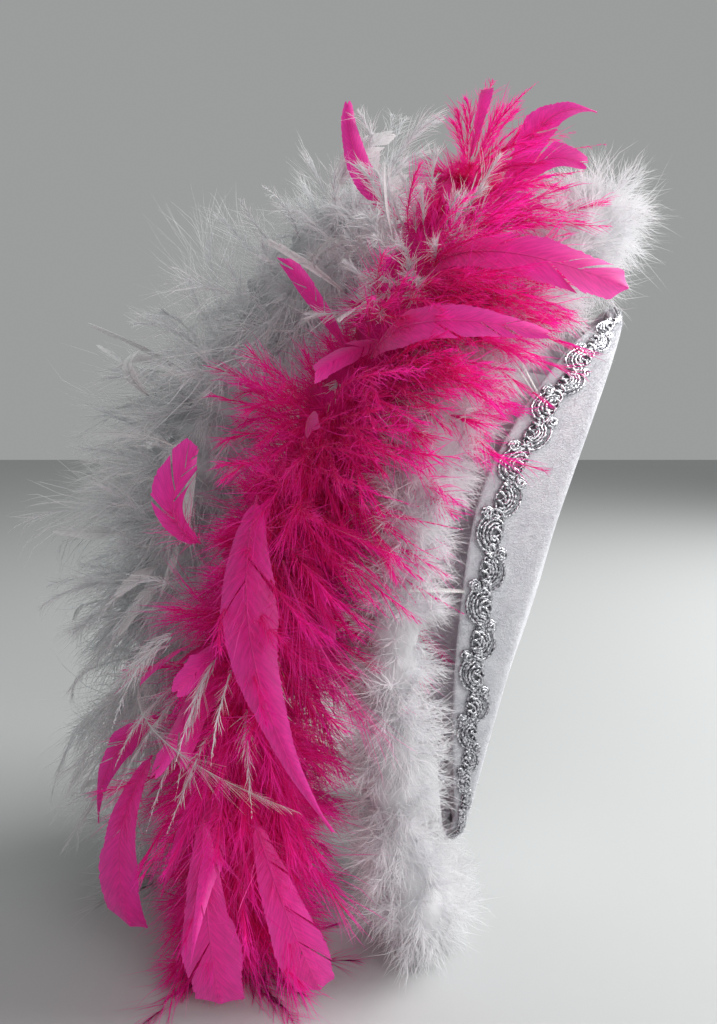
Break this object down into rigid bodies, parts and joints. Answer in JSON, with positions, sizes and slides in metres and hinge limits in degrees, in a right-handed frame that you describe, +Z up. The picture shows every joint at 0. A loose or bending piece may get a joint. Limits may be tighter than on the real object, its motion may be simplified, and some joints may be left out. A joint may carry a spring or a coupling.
{
  "type": "feather boa headpiece",
  "caption": "Two-cornered white felt carnival hat trimmed with silver gimp braid, a white marabou boa, a hot-pink feather boa and a white feather boa.",
  "frame": {"origin": "on the surface it stands on, under the middle of its box", "axes": "+Z up, +X towards the side the head opening faces, +Y away from the front flap"},
  "size_m": [0.296, 0.2534, 0.3939],
  "materials": {
    "felt": "napped white wool felt",
    "ribbon": "ribbed white ribbon",
    "satin": "white satin",
    "silver_braid": "bright silver metallised thread",
    "marabou": "soft white marabou down",
    "pink_down": "hot pink down",
    "pink_plume": "hot pink feather blades, satin sheen",
    "white_down": "soft white down",
    "white_plume": "white feather blades, satin sheen",
    "white_cord": "twisted white cotton cord",
    "pink_cord": "twisted pink cotton cord",
    "thread": "white sewing thread"
  },
  "bodies": {
    "headpiece": {"crown_shell": "felt", "brim_front": "felt", "brim_back": "felt", "sweatband": "ribbon", "crown_lining": "satin", "braid_front": "silver_braid", "braid_back": "silver_braid", "marabou_cord": "white_cord", "marabou_down_1": "marabou", "marabou_down_2": "marabou", "marabou_down_3": "marabou", "marabou_down_4": "marabou", "marabou_down_5": "marabou", "marabou_down_6": "marabou", "marabou_down_7": "marabou", "marabou_down_8": "marabou", "marabou_tie_1": "thread", "marabou_tie_2": "thread", "marabou_tie_3": "thread", "marabou_tie_4": "thread", "pink_cord": "pink_cord", "pink_down_1": "pink_down", "pink_down_2": "pink_down", "pink_down_3": "pink_down", "pink_down_4": "pink_down", "pink_down_5": "pink_down", "pink_tie_1": "thread", "pink_tie_2": "thread", "pink_plume_7": "pink_plume", "pink_plume_8": "pink_plume", "pink_plume_9": "pink_plume", "pink_plume_10": "pink_plume", "pink_plume_11": "pink_plume", "pink_plume_12": "pink_plume", "white_cord": "white_cord", "white_down_1": "white_down", "white_down_2": "white_down", "white_down_3": "white_down", "white_down_4": "white_down", "white_tie_1": "thread", "white_tie_2": "thread", "white_plume_5": "white_plume", "white_plume_6": "white_plume"},
    "pink_plume_1": {"pink_plume_1": "pink_plume"},
    "pink_plume_2": {"pink_plume_2": "pink_plume"},
    "pink_plume_3": {"pink_plume_3": "pink_plume"},
    "pink_plume_4": {"pink_plume_4": "pink_plume"},
    "pink_plume_5": {"pink_plume_5": "pink_plume"},
    "pink_plume_6": {"pink_plume_6": "pink_plume"},
    "white_plume_1": {"white_plume_1": "white_plume"},
    "white_plume_2": {"white_plume_2": "white_plume"},
    "white_plume_3": {"white_plume_3": "white_plume"},
    "white_plume_4": {"white_plume_4": "white_plume"}
  },
  "joints": [
    {"name": "pink_plume_1_sway", "type": "hinge", "parent": "headpiece", "child": "pink_plume_1", "pos_m": [0.0179, -0.0202, 0.3391], "axis": [0.19, 0.9818, 0.004], "range_deg": [-12, 12], "stiffness_Nm_per_rad": 0.0008},
    {"name": "pink_plume_2_sway", "type": "hinge", "parent": "headpiece", "child": "pink_plume_2", "pos_m": [0.0704, -0.0234, 0.3567], "axis": [0.16, 0.8861, 0.435], "range_deg": [-12, 12], "stiffness_Nm_per_rad": 0.0008},
    {"name": "pink_plume_3_sway", "type": "hinge", "parent": "headpiece", "child": "pink_plume_3", "pos_m": [0.062, -0.0327, 0.3402], "axis": [0.5411, 0.5951, 0.5941], "range_deg": [-12, 3], "stiffness_Nm_per_rad": 0.0008},
    {"name": "pink_plume_4_sway", "type": "hinge", "parent": "headpiece", "child": "pink_plume_4", "pos_m": [0.0287, -0.0553, 0.3081], "axis": [0.9605, 0.0969, -0.2609], "range_deg": [-12, 12], "stiffness_Nm_per_rad": 0.0008},
    {"name": "pink_plume_5_sway", "type": "hinge", "parent": "headpiece", "child": "pink_plume_5", "pos_m": [0.0046, -0.0733, 0.2709], "axis": [0.9866, 0.081, -0.1419], "range_deg": [-12, 12], "stiffness_Nm_per_rad": 0.0008},
    {"name": "pink_plume_6_sway", "type": "hinge", "parent": "headpiece", "child": "pink_plume_6", "pos_m": [-0.0671, -0.0809, 0.1935], "axis": [-0.6082, 0.7722, 0.184], "range_deg": [-12, 5], "stiffness_Nm_per_rad": 0.0008},
    {"name": "white_plume_1_sway", "type": "hinge", "parent": "headpiece", "child": "white_plume_1", "pos_m": [-0.0122, -0.004, 0.3554], "axis": [0.2809, 0.9417, 0.1849], "range_deg": [-12, 12], "stiffness_Nm_per_rad": 0.0008},
    {"name": "white_plume_2_sway", "type": "hinge", "parent": "headpiece", "child": "white_plume_2", "pos_m": [-0.0281, -0.0254, 0.3011], "axis": [0.468, 0.76, 0.451], "range_deg": [-12, 12], "stiffness_Nm_per_rad": 0.0008},
    {"name": "white_plume_3_sway", "type": "hinge", "parent": "headpiece", "child": "white_plume_3", "pos_m": [-0.1021, -0.0219, 0.2564], "axis": [-0.5671, 0.6451, 0.5121], "range_deg": [-12, 12], "stiffness_Nm_per_rad": 0.0008},
    {"name": "white_plume_4_sway", "type": "hinge", "parent": "headpiece", "child": "white_plume_4", "pos_m": [-0.0824, -0.0348, 0.2296], "axis": [-0.5632, 0.8263, -0.006], "range_deg": [-12, 12], "stiffness_Nm_per_rad": 0.0008}
  ]
}
